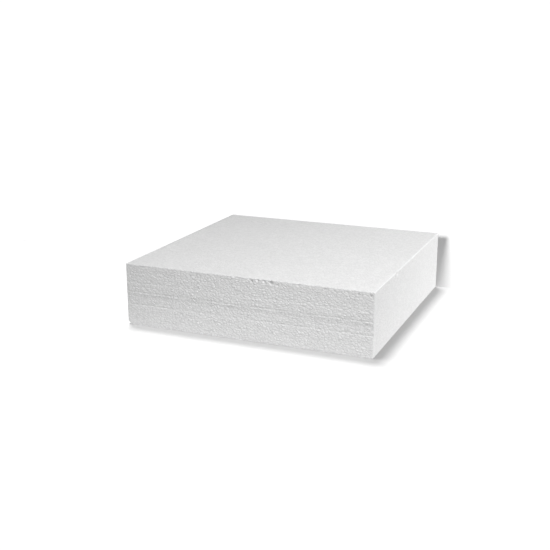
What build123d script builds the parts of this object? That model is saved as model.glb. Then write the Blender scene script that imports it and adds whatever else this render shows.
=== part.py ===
from build123d import *
import os

# Foam block: one rectangular block cut from expanded bead foam.
# Millimetres. Origin at the middle of the underside, +Z up, +X to the right along
# the front, +Y towards the back, so the sawn front face looks along -Y.

length = 305.0  # left end to right end
depth = 295.0  # front face to back face
height = 75.0  # underside to top
edge_radius = 0.8  # cut edges, rubbed soft by handling
crushed_corner = 5.0  # reach of the knocked corner along each of its three edges

# The front was sawn in four passes that don't quite line up. Two of the bands they left
# lie behind the front face. Each is measured down from the top.
upper_band_bottom = 22.5
upper_band_recess = 0.3
middle_band_top = 33.5
middle_band_bottom = 50.0
middle_band_recess = 0.5

# Beads torn out near the two top edges that show wear. For each socket: the distance of
# its centre from the front right corner along the edge, its drop below the top, its radius.
front_face_sockets = (
    (4.2, 4.0, 2.0),
    (18.0, 4.0, 1.3),
    (31.0, 3.6, 1.4),
    (45.7, 3.5, 1.5),
    (56.7, 3.2, 1.5),
    (87.2, 2.3, 1.8),
    (112.0, 4.7, 1.7),
    (119.6, 2.8, 2.7),
    (128.1, 2.0, 2.3),
    (136.0, 1.7, 2.0),
    (142.9, 3.4, 2.1),
    (146.3, 0.9, 1.4),
    (164.8, 0.6, 1.3),
    (180.5, 0.5, 1.2),
    (187.1, 0.5, 1.2),
)
right_face_sockets = (
    (43.3, 2.8, 1.5),
    (55.2, 5.0, 1.3),
    (82.3, 4.2, 1.5),
    (87.7, 2.3, 2.2),
    (148.0, 1.0, 1.4),
    (229.0, 1.2, 1.5),
)
socket_lift = 0.15  # share of its radius that a socket's centre stands out past its face

overshoot = 1.0  # how far a cutting box stands out past the face that it cuts

front = -depth / 2
right = length / 2


def recess_band(top, bottom, recess):
    """Cut the band of the front face between two heights back by recess."""
    with Locations((0, front - overshoot, bottom)):
        Box(
            length + 2 * overshoot,
            overshoot + recess,
            top - bottom,
            align=(Align.CENTER, Align.MIN, Align.MIN),
            mode=Mode.SUBTRACT,
        )


def tear_bead(x, y, drop, radius, turn):
    """Cut the socket of one bead. The turn points the sphere's pole out of the worn face."""
    with Locations(Location((x, y, height - drop), turn)):
        Sphere(radius, mode=Mode.SUBTRACT)


with BuildPart() as foam_block:
    Box(length, depth, height, align=(Align.CENTER, Align.CENTER, Align.MIN))

    # The lower front left corner is knocked flat
    crush_plane = Plane(origin=(crushed_corner - right, front, 0), z_dir=(-1, -1, -1))
    split(bisect_by=crush_plane, keep=Keep.BOTTOM)
    fillet(foam_block.edges(), radius=edge_radius)

    recess_band(height + overshoot, height - upper_band_bottom, upper_band_recess)
    recess_band(height - middle_band_top, height - middle_band_bottom, middle_band_recess)

    for along, drop, radius in front_face_sockets:
        tear_bead(right - along, front - socket_lift * radius, drop, radius, (90, 0, 0))
    for along, drop, radius in right_face_sockets:
        tear_bead(right + socket_lift * radius, front + along, drop, radius, (0, 90, 0))

foam_block.part.label = "foam_block"

os.makedirs("parts", exist_ok=True)
export_step(foam_block.part, "parts/foam_block.step")
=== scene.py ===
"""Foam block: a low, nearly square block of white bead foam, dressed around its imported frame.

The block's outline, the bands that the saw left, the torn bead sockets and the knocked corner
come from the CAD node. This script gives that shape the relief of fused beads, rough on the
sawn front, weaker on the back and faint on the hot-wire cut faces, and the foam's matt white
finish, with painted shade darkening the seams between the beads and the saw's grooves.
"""
import logging
import math
from collections.abc import Mapping
from dataclasses import dataclass
from enum import Enum

import bmesh
import bpy
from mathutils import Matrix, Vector


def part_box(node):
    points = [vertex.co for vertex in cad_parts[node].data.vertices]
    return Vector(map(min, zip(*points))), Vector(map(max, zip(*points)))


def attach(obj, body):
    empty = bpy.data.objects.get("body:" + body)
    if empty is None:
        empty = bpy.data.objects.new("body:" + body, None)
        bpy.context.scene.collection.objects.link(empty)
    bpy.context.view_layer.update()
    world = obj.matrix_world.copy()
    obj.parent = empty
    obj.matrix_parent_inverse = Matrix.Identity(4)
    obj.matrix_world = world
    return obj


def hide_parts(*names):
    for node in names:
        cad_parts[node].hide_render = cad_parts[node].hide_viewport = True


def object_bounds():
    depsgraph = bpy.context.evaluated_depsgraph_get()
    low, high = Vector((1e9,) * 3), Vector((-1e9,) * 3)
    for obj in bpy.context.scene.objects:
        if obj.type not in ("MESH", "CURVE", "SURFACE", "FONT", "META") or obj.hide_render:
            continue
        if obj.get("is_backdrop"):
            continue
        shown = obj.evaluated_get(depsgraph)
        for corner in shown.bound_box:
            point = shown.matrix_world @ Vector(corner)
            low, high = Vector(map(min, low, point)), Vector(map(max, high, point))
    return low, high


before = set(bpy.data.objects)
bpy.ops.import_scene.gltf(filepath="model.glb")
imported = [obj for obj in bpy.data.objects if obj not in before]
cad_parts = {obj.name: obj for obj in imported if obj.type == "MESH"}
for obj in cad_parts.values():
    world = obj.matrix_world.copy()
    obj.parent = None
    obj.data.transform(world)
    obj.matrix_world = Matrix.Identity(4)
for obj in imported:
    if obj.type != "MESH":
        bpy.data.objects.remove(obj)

log = logging.getLogger("foam_block")

Socket = bpy.types.NodeSocket
Value = Socket | float | int | bool | tuple | bpy.types.Material

MM = 0.001
WHITE = (1.0, 1.0, 1.0, 1.0)
MEAN_COLOR = (0.5, 0.5, 0.5)


class TreeKind(Enum):
    """The two kinds of node tree that this script builds."""

    SHADER = "ShaderNodeTree"
    GEOMETRY = "GeometryNodeTree"


class SocketKind(Enum):
    """The kinds of socket that a group shows."""

    FLOAT = "NodeSocketFloat"
    VECTOR = "NodeSocketVector"
    GEOMETRY = "NodeSocketGeometry"
    MATERIAL = "NodeSocketMaterial"


class TreeBuilder:
    """Adds nodes to one node tree and wires them up."""

    def __init__(self, tree: bpy.types.NodeTree) -> None:
        """Start on the node tree to fill."""
        self.tree = tree

    @classmethod
    def group(cls, name: str, kind: TreeKind) -> "TreeBuilder":
        """Return a builder on a new, empty node group."""
        return cls(bpy.data.node_groups.new(name, kind.value))

    @classmethod
    def emptied(cls, owner: bpy.types.Material | bpy.types.World) -> "TreeBuilder":
        """Empty the node tree of a new material or world and start on it.

        Args:
            owner: The material or world.

        Returns:
            A builder on its tree.
        """
        owner.use_nodes = True
        owner.node_tree.nodes.clear()
        return cls(owner.node_tree)

    def expose(self, name: str, kind: SocketKind, out: bool = False) -> str:
        """Add a named input or output and return the identifier by which a modifier sets it."""
        way = "OUTPUT" if out else "INPUT"
        return self.tree.interface.new_socket(name, in_out=way, socket_type=kind.value).identifier

    def feed(self, target: Socket, value: Value) -> None:
        """Link a socket to the target, or set the target's own value.

        Args:
            target: The input to feed.
            value: The socket or the plain value that feeds it.
        """
        if isinstance(value, Socket):
            self.tree.links.new(value, target)
        else:
            target.default_value = value

    def add(
        self, kind: str, inputs: Mapping[str | int, Value] | None = None, **settings: object
    ) -> bpy.types.Node:
        """Add one node.

        Args:
            kind: The node's type.
            inputs: What feeds its inputs, by name or by index.
            **settings: The node's own properties.

        Returns:
            The node.
        """
        node = self.tree.nodes.new(kind)
        for name, value in settings.items():
            setattr(node, name, value)
        for key, value in (inputs or {}).items():
            self.feed(node.inputs[key], value)
        return node

    def math(self, operation: str, first: Value, second: Value = 0.0) -> Socket:
        """Return one sum on two numbers, named as the Math node names it."""
        return self.add("ShaderNodeMath", {0: first, 1: second}, operation=operation).outputs[0]

    def total(self, *values: Socket) -> Socket:
        """Add all the values up.

        Args:
            *values: The sockets to add.

        Returns:
            Their sum.
        """
        result = values[0]
        for value in values[1:]:
            result = self.math("ADD", result, value)
        return result

    def product(self, *values: Value) -> Socket:
        """Multiply all the values.

        Args:
            *values: The sockets and numbers to multiply, a socket first.

        Returns:
            Their product.
        """
        result = values[0]
        for value in values[1:]:
            result = self.math("MULTIPLY", result, value)
        return result

    def vector(self, operation: str, first: Value, second: Value = (0.0, 0.0, 0.0)) -> Socket:
        """Return one sum on two vectors, named as the Vector Math node names it."""
        return self.add("ShaderNodeVectorMath", {0: first, 1: second}, operation=operation).outputs["Vector"]

    def scaled(self, vector: Value, factor: Value) -> Socket:
        """Return the vector times the factor."""
        node = self.add("ShaderNodeVectorMath", {0: vector, "Scale": factor}, operation="SCALE")
        return node.outputs["Vector"]

    def ease(
        self, value: Value, low: Value, high: Value, start: Value = 0.0, end: Value = 1.0
    ) -> Socket:
        """Return a number that eases from start to end as the value goes from low to high."""
        inputs = {"Value": value, "From Min": low, "From Max": high, "To Min": start, "To Max": end}
        return self.add("ShaderNodeMapRange", inputs, interpolation_type="SMOOTHSTEP").outputs["Result"]

    def split(self, vector: Socket) -> tuple[Socket, Socket, Socket]:
        """Return a vector's three parts."""
        parts = self.add("ShaderNodeSeparateXYZ", {0: vector}).outputs
        return parts[0], parts[1], parts[2]

    def noise(self, place: Socket, scale: Value, detail: float = 2.0) -> Socket:
        """Return soft noise from about -1 to 1, with scale features for each unit of place."""
        node = self.add("ShaderNodeTexNoise", {"Vector": place, "Scale": scale, "Detail": detail})
        return self.math("MULTIPLY", self.math("SUBTRACT", node.outputs[0], 0.5), 2.0)


@dataclass(frozen=True)
class BeadCells:
    """What is known of the bead at a point, as sockets.

    Attributes:
        chance: Three random numbers between 0 and 1, the same all over one bead.
        seam: Distance to the nearest seam between beads, in bead pitches.
        lean: Rise of the bead's own tilt, about -0.5 to 0.5.
    """

    chance: tuple[Socket, Socket, Socket]
    seam: Socket
    lean: Socket


@dataclass(frozen=True)
class BeadPacking:
    """The foam's packing of fused beads, which the relief and the finish share.

    Attributes:
        pitch: Mean distance between bead middles, in metres.
        stretch: How much longer the beads are along X than across it.
        wobble: How far seams wander from flat, in bead pitches.
        wobble_scale: Swings of that wandering for each bead pitch.
    """

    pitch: float = 2.8 * MM
    stretch: float = 1.5
    wobble: float = 0.2
    wobble_scale: float = 1.1

    def cells(self, build: TreeBuilder, place: Socket) -> BeadCells:
        """Find the bead that a point lies in.

        Args:
            build: The tree to add the nodes to.
            place: The point, in metres.

        Returns:
            The bead's facts at that point.
        """
        across = 1.0 / self.pitch
        unit = build.vector("MULTIPLY", place, (across / self.stretch, across, across))
        noise = build.add(
            "ShaderNodeTexNoise", {"Vector": unit, "Scale": self.wobble_scale, "Detail": 1.0}
        )
        drift = build.vector("SUBTRACT", noise.outputs["Color"], MEAN_COLOR)
        warped = build.vector("ADD", unit, build.scaled(drift, 2.0 * self.wobble))
        voronoi = {"Vector": warped, "Scale": 1.0, "Randomness": 1.0}
        inside = build.add("ShaderNodeTexVoronoi", voronoi, feature="F1")
        edge = build.add("ShaderNodeTexVoronoi", voronoi, feature="DISTANCE_TO_EDGE")
        local = build.vector("SUBTRACT", warped, inside.outputs["Position"])
        tilt = build.vector("SUBTRACT", inside.outputs["Color"], MEAN_COLOR)
        lean = build.add("ShaderNodeVectorMath", {0: local, 1: tilt}, operation="DOT_PRODUCT")
        chance = build.split(inside.outputs["Color"])
        return BeadCells(chance, edge.outputs["Distance"], lean.outputs["Value"])


@dataclass(frozen=True)
class SawMark:
    """One level mark across the sawn front, left where two passes of the saw met.

    Attributes:
        drop: Its distance below the top, in metres.
        rise: How far it stands out, in metres, or below zero for a groove.
    """

    drop: float
    rise: float


@dataclass
class BeadRelief:
    """The relief of the block's faces: domes, sockets, seams and saw marks.

    Lengths are in metres, unless they are said to be in bead pitches. The shares named after
    a face say how much of the full relief it shows.

    Attributes:
        packing: The packing of the beads.
        dome: Mean height of a bead's dome.
        lift: How far a single bead's height may differ from that mean.
        lean: Rise for each unit of a bead's own tilt.
        torn: Share of the beads that are torn out.
        torn_blend: How far above that share the change from torn to kept ends.
        crown_width: Distance from a seam at which a bead is full height, in bead pitches.
        seam_depth: Depth of the seams.
        seam_width: Distance from a seam's middle to its edge, in bead pitches.
        grit: Height of the grit that covers the beads.
        grit_size: Size of one grain of it.
        streak: Height of the saw's streaks at the left end of the front.
        streak_right_share: Share of that height at the right end.
        streak_fade: Where along X the streaks start and stop weakening.
        streak_scale: Streaks for each metre along X, along Y and upwards.
        marks: The marks where one pass of the saw met the next.
        mark_half_width: Distance from a mark's middle to its edge.
        waver: How far a mark strays from level.
        waver_scale: Swings of that straying for each metre.
        left_end_share: Share at the left end of the front.
        left_end_reach: How far left of the middle that share is reached.
        back_share: Share on the back.
        side_share: Share on the left and right faces.
        flat_share: Share on the top and the underside.
    """

    packing: BeadPacking
    dome: float = 0.12 * MM
    lift: float = 0.22 * MM
    lean: float = 1.55 * MM
    torn: float = 0.35
    torn_blend: float = 0.02
    crown_width: float = 0.42
    seam_depth: float = 0.25 * MM
    seam_width: float = 0.16
    grit: float = 0.24 * MM
    grit_size: float = 2.2 * MM
    streak: float = 0.26 * MM
    streak_right_share: float = 0.4
    streak_fade: tuple[float, float] = (-0.10, 0.12)
    streak_scale: tuple[float, float, float] = (40.0, 40.0, 420.0)
    marks: tuple[SawMark, ...] = (
        SawMark(22.4 * MM, -0.20 * MM),
        SawMark(24.7 * MM, 0.05 * MM),
        SawMark(33.0 * MM, -0.30 * MM),
        SawMark(35.3 * MM, 0.65 * MM),
        SawMark(36.9 * MM, 0.25 * MM),
        SawMark(49.2 * MM, -0.35 * MM),
        SawMark(50.7 * MM, -0.12 * MM),
    )
    mark_half_width: float = 1.2 * MM
    waver: float = 0.15 * MM
    waver_scale: float = 45.0
    left_end_share: float = 0.58
    left_end_reach: float = 0.16
    back_share: float = 0.35
    side_share: float = 0.10
    flat_share: float = 0.07

    def shares(self, build: TreeBuilder, place: Socket, normal: Socket) -> tuple[Socket, Socket]:
        """Say how rough the face under a point is.

        Args:
            build: The tree to add the nodes to.
            place: The point, in metres.
            normal: The surface normal there.

        Returns:
            The share of the full relief, and how much the point belongs to the sawn front.
        """
        x, y, z = build.split(normal)
        front = build.math("POWER", build.math("MAXIMUM", build.math("MULTIPLY", y, -1.0), 0.0), 2.0)
        back = build.math("POWER", build.math("MAXIMUM", y, 0.0), 2.0)
        along = build.split(place)[0]
        front_share = build.ease(along, -self.left_end_reach, 0.0, self.left_end_share, 1.0)
        share = build.total(
            build.product(front, front_share),
            build.product(back, self.back_share),
            build.product(x, x, self.side_share),
            build.product(z, z, self.flat_share),
        )
        return share, front

    def bead_height(self, build: TreeBuilder, place: Socket) -> Socket:
        """Shape the beads: most stand out as domes and the torn ones leave sockets.

        Args:
            build: The tree to add the nodes to.
            place: The point, in metres.

        Returns:
            How far the surface stands out there, in metres, at full relief.
        """
        cells = self.packing.cells(build, place)
        lift = build.ease(cells.chance[0], 0.0, 1.0, self.dome - self.lift, self.dome + self.lift)
        kept = build.ease(cells.chance[1], self.torn, self.torn + self.torn_blend, -1.0, 1.0)
        lean = build.product(cells.lean, self.lean)
        crown = build.ease(cells.seam, 0.0, self.crown_width)
        seam = build.ease(cells.seam, 0.0, self.seam_width, -self.seam_depth, 0.0)
        grit = build.product(build.noise(place, 1.0 / self.grit_size, 1.0), self.grit)
        middle = build.math("SUBTRACT", build.product(build.total(lift, lean), kept, crown), 0.5 * self.dome)
        return build.total(middle, seam, grit)

    def saw_marks(self, build: TreeBuilder, place: Socket, top: float) -> tuple[Socket, Socket]:
        """Draw the marks where one pass of the saw met the next, and its finer streaks.

        Args:
            build: The tree to add the nodes to.
            place: The point, in metres.
            top: Height of the block's top, in metres.

        Returns:
            How far the surface stands out there, in metres, and how much of it is a groove.
        """
        x, _, height = build.split(place)
        along = build.vector("MULTIPLY", place, (1.0, 1.0, 0.0))
        level = build.total(height, build.product(build.noise(along, self.waver_scale), self.waver))
        rises, grooves = [], []
        for mark in self.marks:
            gap = build.math("ABSOLUTE", build.math("SUBTRACT", level, top - mark.drop))
            share = build.ease(gap, 0.0, self.mark_half_width, 1.0, 0.0)
            rises.append(build.product(share, mark.rise))
            if mark.rise < 0.0:
                grooves.append(share)
        streaked = build.noise(build.vector("MULTIPLY", place, self.streak_scale), 1.0, 1.0)
        weakest = self.streak_right_share * self.streak
        streak = build.product(streaked, build.ease(x, *self.streak_fade, self.streak, weakest))
        return build.total(*rises, streak), build.total(*grooves)

    def tree(self, top: float) -> tuple[bpy.types.NodeTree, str]:
        """Build the geometry tree that raises the relief.

        Args:
            top: Height of the block's top, in metres.

        Returns:
            The tree, and the identifier of its material input.
        """
        build = TreeBuilder.group("bead_relief", TreeKind.GEOMETRY)
        build.expose("Block", SocketKind.GEOMETRY)
        finish = build.expose("Finish", SocketKind.MATERIAL)
        build.expose("Block", SocketKind.GEOMETRY, out=True)
        given = build.add("NodeGroupInput").outputs
        place = build.add("GeometryNodeInputPosition").outputs[0]
        normal = build.add("GeometryNodeInputNormal").outputs[0]
        share, sawn = self.shares(build, place, normal)
        beads = build.product(self.bead_height(build, place), share)
        marks, groove = self.saw_marks(build, place, top)
        offset = build.scaled(normal, build.total(beads, build.product(marks, sawn)))
        shape = given["Block"]
        for name, value in (("sawn", sawn), ("groove", build.product(groove, sawn))):
            shape = build.add(
                "GeometryNodeStoreNamedAttribute",
                {"Geometry": shape, "Name": name, "Value": value},
                data_type="FLOAT",
                domain="POINT",
            ).outputs[0]
        raised = build.add("GeometryNodeSetPosition", {"Geometry": shape, "Offset": offset})
        smooth = build.add("GeometryNodeSetShadeSmooth", {"Geometry": raised.outputs[0]})
        real = build.add("GeometryNodeRealizeInstances", {"Geometry": smooth.outputs[0]})
        dressed = build.add(
            "GeometryNodeSetMaterial", {"Geometry": real.outputs[0], "Material": given["Finish"]}
        )
        build.add("NodeGroupOutput", {0: dressed.outputs[0]})
        return build.tree, finish


@dataclass(frozen=True)
class FoamFinish:
    """The matt white of bead foam, with a little painted shade in the seams between its beads and in the
    saw's grooves.

    Attributes:
        packing: The packing of the beads.
        white: Brightness of a clean bead, from 0 to 1.
        bead_contrast: How much darker the darkest bead is, as a share.
        seam_painted_shade: How much painted shade darkens a seam on a cut face, as a share.
        sawn_seam_painted_shade: How much painted shade darkens a seam on the sawn front, as a share.
        groove_painted_shade: How much painted shade darkens the saw's grooves, as a share.
        seam_width: Distance from a seam's middle to the edge of its painted shade, in bead pitches.
        roughness: The surface's roughness.
        specular: The strength of its sheen.
        glow: Share of the light that spreads below the surface.
        glow_depth: How far it spreads, in metres.
        bump: Height of the finest relief on a cut face, in metres.
        sawn_bump: The same on the sawn front.
        rounding: Distance from a seam at which a bead is full height, in bead pitches.
        bead_step: How far one bead may stand above the next, as a share of the bump.
        grain_size: Size of the grain on the beads, in metres.
        grain_share: Height of that grain, as a share of the bump.
    """

    packing: BeadPacking
    white: float = 0.85
    bead_contrast: float = 0.05
    seam_painted_shade: float = 0.08
    sawn_seam_painted_shade: float = 0.10
    groove_painted_shade: float = 0.04
    seam_width: float = 0.16
    roughness: float = 0.7
    specular: float = 0.3
    glow: float = 0.10
    glow_depth: float = 1.5 * MM
    bump: float = 0.10 * MM
    sawn_bump: float = 0.16 * MM
    rounding: float = 0.2
    bead_step: float = 0.5
    grain_size: float = 0.9 * MM
    grain_share: float = 0.4

    def pattern(self) -> bpy.types.NodeTree:
        """Build the shader group that draws the beads.

        Returns:
            The group, which gives the beads' random tone with painted shade in their seams, and a height in
            metres.
        """
        build = TreeBuilder.group("bead_pattern", TreeKind.SHADER)
        build.expose("Place", SocketKind.VECTOR)
        build.expose("Sawn", SocketKind.FLOAT)
        build.expose("Tint", SocketKind.FLOAT, out=True)
        build.expose("Height", SocketKind.FLOAT, out=True)
        given = build.add("NodeGroupInput").outputs
        place, sawn = given["Place"], given["Sawn"]
        cells = self.packing.cells(build, place)
        # Painted shade: the seams between beads are darkened in the colour, more on the sawn front, and this
        # is multiplied with each bead's random tone.
        seam_shade_level = build.ease(sawn, 0.0, 1.0, 1.0 - self.seam_painted_shade, 1.0 - self.sawn_seam_painted_shade)
        bead = build.ease(cells.chance[1], 0.0, 1.0, 1.0 - self.bead_contrast, 1.0)
        tone_and_seam_shade = build.product(build.ease(cells.seam, 0.0, self.seam_width, seam_shade_level, 1.0), bead)
        rounded = build.ease(cells.seam, 0.0, self.rounding)
        step = build.product(cells.chance[2], self.bead_step)
        grain = build.product(build.noise(place, 1.0 / self.grain_size, 1.0), self.grain_share)
        height = build.total(rounded, step, grain)
        scale = build.ease(sawn, 0.0, 1.0, self.bump, self.sawn_bump)
        build.add("NodeGroupOutput", {"Tint": tone_and_seam_shade, "Height": build.product(height, scale)})
        return build.tree

    def material(self) -> bpy.types.Material:
        """Build the foam's material.

        Returns:
            The material.
        """
        foam = bpy.data.materials.new("white_bead_foam")
        build = TreeBuilder.emptied(foam)
        beads = build.add("ShaderNodeGroup", node_tree=self.pattern())
        build.feed(beads.inputs["Place"], build.add("ShaderNodeTexCoord").outputs["Object"])
        sawn = build.add("ShaderNodeAttribute", attribute_name="sawn").outputs["Fac"]
        build.feed(beads.inputs["Sawn"], sawn)
        groove = build.add("ShaderNodeAttribute", attribute_name="groove").outputs["Fac"]
        # Painted shade: the colour is darkened along the saw's grooves.
        shade = build.ease(groove, 0.0, 1.0, self.white, self.white * (1.0 - self.groove_painted_shade))
        level = build.product(beads.outputs["Tint"], shade)
        color = build.add("ShaderNodeCombineColor", {0: level, 1: level, 2: level})
        bump = build.add(
            "ShaderNodeBump", {"Strength": 1.0, "Distance": 1.0, "Height": beads.outputs["Height"]}
        )
        surface = build.add(
            "ShaderNodeBsdfPrincipled",
            {
                "Base Color": color.outputs[0],
                "Roughness": self.roughness,
                "Specular IOR Level": self.specular,
                "Subsurface Weight": self.glow,
                "Subsurface Radius": (1.0, 1.0, 1.0),
                "Subsurface Scale": self.glow_depth,
                "Normal": bump.outputs[0],
            },
        )
        build.add("ShaderNodeOutputMaterial", {"Surface": surface.outputs[0]})
        return foam


def new_object(name: str, data: bpy.types.ID) -> bpy.types.Object:
    """Make an object and link it to the scene.

    Args:
        name: The object's name.
        data: The mesh, lamp or camera that it shows.

    Returns:
        The new object.
    """
    item = bpy.data.objects.new(name, data)
    bpy.context.scene.collection.objects.link(item)
    return item


@dataclass
class FoamBlock:
    """The block itself, one piece that stands for the CAD node.

    Attributes:
        relief: The relief of its faces.
        finish: Its finish.
        node: The CAD node that it stands for.
        merge_distance: How near two corners lie to be merged, in metres.
        voxel: Side of one cell of the even grid that carries the relief, in metres.
        triangles: How many triangles are kept.
    """

    relief: BeadRelief
    finish: FoamFinish
    node: str = "foam_block"
    merge_distance: float = 0.001 * MM
    voxel: float = 0.68 * MM
    triangles: int = 197_000

    def base(self) -> bpy.types.Object:
        """Copy the CAD node as one mesh, with its doubled corners merged.

        Returns:
            The copy, linked to the scene.
        """
        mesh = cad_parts[self.node].data.copy()
        mesh.name = "block_mesh"
        mesh.materials.clear()
        shell = bmesh.new()
        shell.from_mesh(mesh)
        bmesh.ops.remove_doubles(shell, verts=shell.verts, dist=self.merge_distance)
        shell.to_mesh(mesh)
        shell.free()
        return new_object("block_of_bead_foam", mesh)

    def bake(self, block: bpy.types.Object) -> None:
        """Turn the modified shape into the object's plain mesh.

        Args:
            block: The object to bake.
        """
        depsgraph = bpy.context.evaluated_depsgraph_get()
        mesh = bpy.data.meshes.new_from_object(block.evaluated_get(depsgraph))
        block.modifiers.clear()
        block.data = mesh

    def build(self) -> bpy.types.Object:
        """Make the piece and tie it to the frame.

        Returns:
            The finished block.
        """
        block = self.base()
        remesh = block.modifiers.new("even_grid", "REMESH")
        remesh.mode = "VOXEL"
        remesh.voxel_size = self.voxel
        tree, finish_input = self.relief.tree(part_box(self.node)[1].z)
        raised = block.modifiers.new("bead_relief", "NODES")
        raised.node_group = tree
        raised[finish_input] = self.finish.material()
        self.bake(block)
        full = sum(len(p.vertices) - 2 for p in block.data.polygons)
        thin = block.modifiers.new("thin_flats", "DECIMATE")
        thin.ratio = self.triangles / full
        thin.use_collapse_triangulate = True
        self.bake(block)
        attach(block, "root")
        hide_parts(self.node)
        return block


def toward(azimuth: float, elevation: float) -> Vector:
    """Return the direction from the block to a viewer at that azimuth and elevation."""
    a, e = math.radians(azimuth), math.radians(elevation)
    return Vector((math.sin(a) * math.cos(e), -math.cos(a) * math.cos(e), math.sin(e)))


def put(name: str, data: bpy.types.ID, place: Vector, back: Vector) -> bpy.types.Object:
    """Put a lamp or a camera in the scene.

    Args:
        name: The object's name.
        data: The lamp or camera.
        place: Where it stands, in metres.
        back: The direction that its back faces.

    Returns:
        The new object.
    """
    item = new_object(name, data)
    item.location = place
    item.rotation_mode = "QUATERNION"
    item.rotation_quaternion = back.to_track_quat("Z", "Y")
    return item


@dataclass(frozen=True)
class Softbox:
    """A square soft light that shines on the block alone.

    Attributes:
        name: Its name.
        place: Where it stands, in metres.
        size: Its side, in metres.
        power: Its power, in watts.
        aim_height: Height of the point that it is aimed at, in metres.
    """

    name: str
    place: tuple[float, float, float]
    size: float
    power: float
    aim_height: float = 0.05

    def build(self, lit: bpy.types.Collection) -> None:
        """Hang the light, aimed at the block.

        Args:
            lit: The only objects that it shines on.
        """
        lamp = bpy.data.lights.new(self.name, "AREA")
        lamp.shape = "SQUARE"
        lamp.size = self.size
        lamp.energy = self.power
        place = Vector(self.place)
        light = put(self.name, lamp, place, place - Vector((0.0, 0.0, self.aim_height)))
        light.light_linking.receiver_collection = lit


@dataclass(frozen=True)
class Sun:
    """A distant light that shines on the floor or the board alone, where the block shades it.

    Attributes:
        name: Its name.
        azimuth: Where it stands, in degrees.
        elevation: How high it stands, in degrees.
        spread: How soft its shadow is, in degrees.
        strength: Its strength.
    """

    name: str
    azimuth: float
    elevation: float
    spread: float
    strength: float

    def build(self, lit: bpy.types.Collection) -> None:
        """Hang the light.

        Args:
            lit: The only objects that it shines on.
        """
        lamp = bpy.data.lights.new(self.name, "SUN")
        lamp.energy = self.strength
        lamp.angle = math.radians(self.spread)
        back = toward(self.azimuth, self.elevation)
        put(self.name, lamp, back, back).light_linking.receiver_collection = lit


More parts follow.
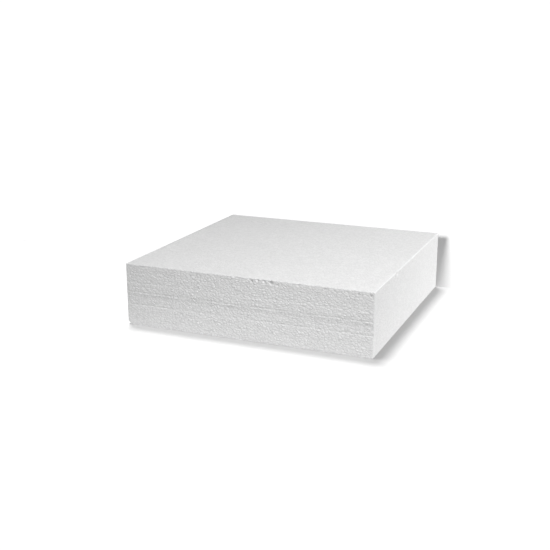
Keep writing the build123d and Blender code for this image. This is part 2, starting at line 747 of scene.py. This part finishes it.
@dataclass
class Studio:
    """A white floor under a pale sky and a white board behind, with soft lights and the camera.

    Lengths are in metres and angles in degrees.

    Attributes:
        floor_radius: Radius of the floor.
        floor_sides: How many sides the floor has.
        floor_white: Brightness of the floor and the board, from 0 to 1.
        floor_glow: Glow of the floor to the camera.
        paper_roughness: Roughness of the floor and the board.
        paper_specular: Strength of their sheen.
        bounce_middle: Middle of the brighter patch of floor that lights the block from below.
        bounce_near: Glow of that patch to the block.
        bounce_far: Glow of the rest of the floor to the block.
        bounce_reach: Distances from the middle at which the patch starts and stops fading.
        sky: Strength of the sky's light.
        sky_seen: Strength of the sky to the camera.
        softboxes: The lights that shine on the block.
        floor_suns: The lights that shine on the floor.
        board_gap: Distance from the block's back to the board's foot.
        board_lean: The board's slope from level.
        board_side: Side of the square board.
        board_glow: Glow of the board.
        board_sun: The light that shines on the board.
        camera_azimuth: Where the camera stands, from the front towards the right.
        camera_elevation: How high the camera stands.
        camera_distance: How far back it stands.
        aim_right: How far it is shifted right.
        aim_up: How far it is shifted up.
        lens: Its focal length, in millimetres.
    """

    floor_radius: float = 60.0
    floor_sides: int = 64
    floor_white: float = 0.45
    floor_glow: float = 0.22
    paper_roughness: float = 0.9
    paper_specular: float = 0.1
    bounce_middle: tuple[float, float, float] = (0.06, 0.0, 0.0)
    bounce_near: float = 1.03
    bounce_far: float = 0.40
    bounce_reach: tuple[float, float] = (0.20, 0.45)
    sky: float = 0.20
    sky_seen: float = 1.0
    softboxes: tuple[Softbox, ...] = (
        Softbox("key", (0.49, -0.58, 1.22), 0.5, 16.4),
        Softbox("side", (0.60, 0.45, 0.25), 0.35, 1.85),
    )
    floor_suns: tuple[Sun, ...] = (
        Sun("sun_behind", -141.0, 73.5, 14.0, 3.3),
        Sun("sun_left", -68.0, 76.5, 17.0, 1.9),
    )
    board_gap: float = 0.2 * MM
    board_lean: float = 50.0
    board_side: float = 4.0
    board_glow: float = 0.24
    board_sun: Sun = Sun("board_sun", -3.5, 18.0, 8.0, 5.2)
    camera_azimuth: float = 22.67
    camera_elevation: float = 16.03
    camera_distance: float = 1.174
    aim_right: float = -0.0217
    aim_up: float = 0.0371
    lens: float = 59.9

    def floor(self) -> bpy.types.Object:
        """Lay the floor.

        Returns:
            The floor.
        """
        mesh = bpy.data.meshes.new("floor")
        shell = bmesh.new()
        bmesh.ops.create_circle(
            shell, cap_ends=True, radius=self.floor_radius, segments=self.floor_sides
        )
        shell.to_mesh(mesh)
        shell.free()
        mesh.materials.append(self.paper())
        floor = new_object("floor", mesh)
        floor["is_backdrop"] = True
        return floor

    def board(self, back: float) -> bpy.types.Object:
        """Lean a white board back from just behind the block, seen by the camera alone.

        Args:
            back: How far back the block reaches, in metres.

        Returns:
            The board.
        """
        half, foot, lean = 0.5 * self.board_side, back + self.board_gap, math.radians(self.board_lean)
        rise = self.board_side * Vector((0.0, math.cos(lean), math.sin(lean)))
        corners = [Vector((-half, foot, 0.0)), Vector((half, foot, 0.0))]
        mesh = bpy.data.meshes.new("board")
        mesh.from_pydata(corners + [corners[1] + rise, corners[0] + rise], [], [(0, 1, 2, 3)])
        mesh.materials.append(self.one_sided_white())
        board = new_object("board", mesh)
        for way in ("diffuse", "glossy", "transmission", "volume_scatter", "shadow"):
            setattr(board, f"visible_{way}", False)
        board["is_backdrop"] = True
        return board

    def matt_white(self, build: TreeBuilder, color: Value, glow: Value) -> Socket:
        """Add the matt, glowing surface that the floor and the board share.

        Args:
            build: The tree to add the node to.
            color: The surface's colour.
            glow: The strength of its white glow.

        Returns:
            The surface.
        """
        inputs = {
            "Base Color": color,
            "Roughness": self.paper_roughness,
            "Specular IOR Level": self.paper_specular,
            "Emission Color": WHITE,
            "Emission Strength": glow,
        }
        return build.add("ShaderNodeBsdfPrincipled", inputs).outputs[0]

    def one_sided_white(self) -> bpy.types.Material:
        """Build the board's white, which is clear from behind.

        Returns:
            The material.
        """
        white = bpy.data.materials.new("one_sided_white")
        build = TreeBuilder.emptied(white)
        behind = build.add("ShaderNodeNewGeometry").outputs["Backfacing"]
        color = (self.floor_white, self.floor_white, self.floor_white, 1.0)
        lit = self.matt_white(build, color, self.board_glow)
        clear = build.add("ShaderNodeBsdfTransparent").outputs[0]
        surface = build.add("ShaderNodeMixShader", {0: behind, 1: lit, 2: clear})
        build.add("ShaderNodeOutputMaterial", {"Surface": surface.outputs[0]})
        return white

    def paper(self) -> bpy.types.Material:
        """Build the floor's white: lit and shaded to the camera, only a soft glow to the block.

        Returns:
            The material.
        """
        paper = bpy.data.materials.new("white_floor")
        build = TreeBuilder.emptied(paper)
        seen = build.add("ShaderNodeLightPath").outputs["Is Camera Ray"]
        level = build.product(seen, self.floor_white)
        color = build.add("ShaderNodeCombineColor", {0: level, 1: level, 2: level})
        apart = {0: build.add("ShaderNodeTexCoord").outputs["Object"], 1: self.bounce_middle}
        away = build.add("ShaderNodeVectorMath", apart, operation="DISTANCE").outputs["Value"]
        bounce = build.ease(away, *self.bounce_reach, self.bounce_near, self.bounce_far)
        glow = build.add("ShaderNodeMix", {"Factor": seen, "A": bounce, "B": self.floor_glow}).outputs[0]
        surface = self.matt_white(build, color.outputs[0], glow)
        build.add("ShaderNodeOutputMaterial", {"Surface": surface})
        return paper

    def world(self) -> bpy.types.World:
        """Build the sky, which the camera sees whiter than it shines.

        Returns:
            The world.
        """
        world = bpy.data.worlds.new("pale_sky")
        build = TreeBuilder.emptied(world)
        seen = build.add("ShaderNodeLightPath").outputs["Is Camera Ray"]
        strength = build.ease(seen, 0.0, 1.0, self.sky, self.sky_seen)
        sky = build.add("ShaderNodeBackground", {"Color": WHITE, "Strength": strength})
        build.add("ShaderNodeOutputWorld", {"Surface": sky.outputs[0]})
        return world

    def camera(self) -> bpy.types.Object:
        """Place the camera.

        Returns:
            The camera.
        """
        back = toward(self.camera_azimuth, self.camera_elevation)
        turn = back.to_track_quat("Z", "Y")
        right, up = turn @ Vector((1.0, 0.0, 0.0)), turn @ Vector((0.0, 1.0, 0.0))
        lens = bpy.data.cameras.new("camera")
        lens.lens = self.lens
        place = back * self.camera_distance + right * self.aim_right + up * self.aim_up
        return put("camera", lens, place, back)

    def build(self, block: bpy.types.Object) -> None:
        """Set up floor, board, sky, lights and camera, with plain film colours.

        Args:
            block: The piece that the softboxes light.
        """
        scene = bpy.context.scene
        board = self.board(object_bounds()[1][1])
        lit_by = ((block, self.softboxes), (self.floor(), self.floor_suns), (board, (self.board_sun,)))
        for lit, lights in lit_by:
            group = bpy.data.collections.new(f"lit_{lit.name}")
            group.objects.link(lit)
            for light in lights:
                light.build(group)
        scene.world = self.world()
        scene.camera = self.camera()
        scene.view_settings.view_transform = "Standard"


def main() -> None:
    """Build the block and its studio."""
    logging.basicConfig(level=logging.INFO, format="%(name)s: %(message)s")
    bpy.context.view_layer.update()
    packing = BeadPacking()
    block = FoamBlock(BeadRelief(packing), FoamFinish(packing)).build()
    Studio().build(block)
    log.info("%s: %d triangles", block.name, len(block.data.polygons))


if __name__ == "__main__":
    main()
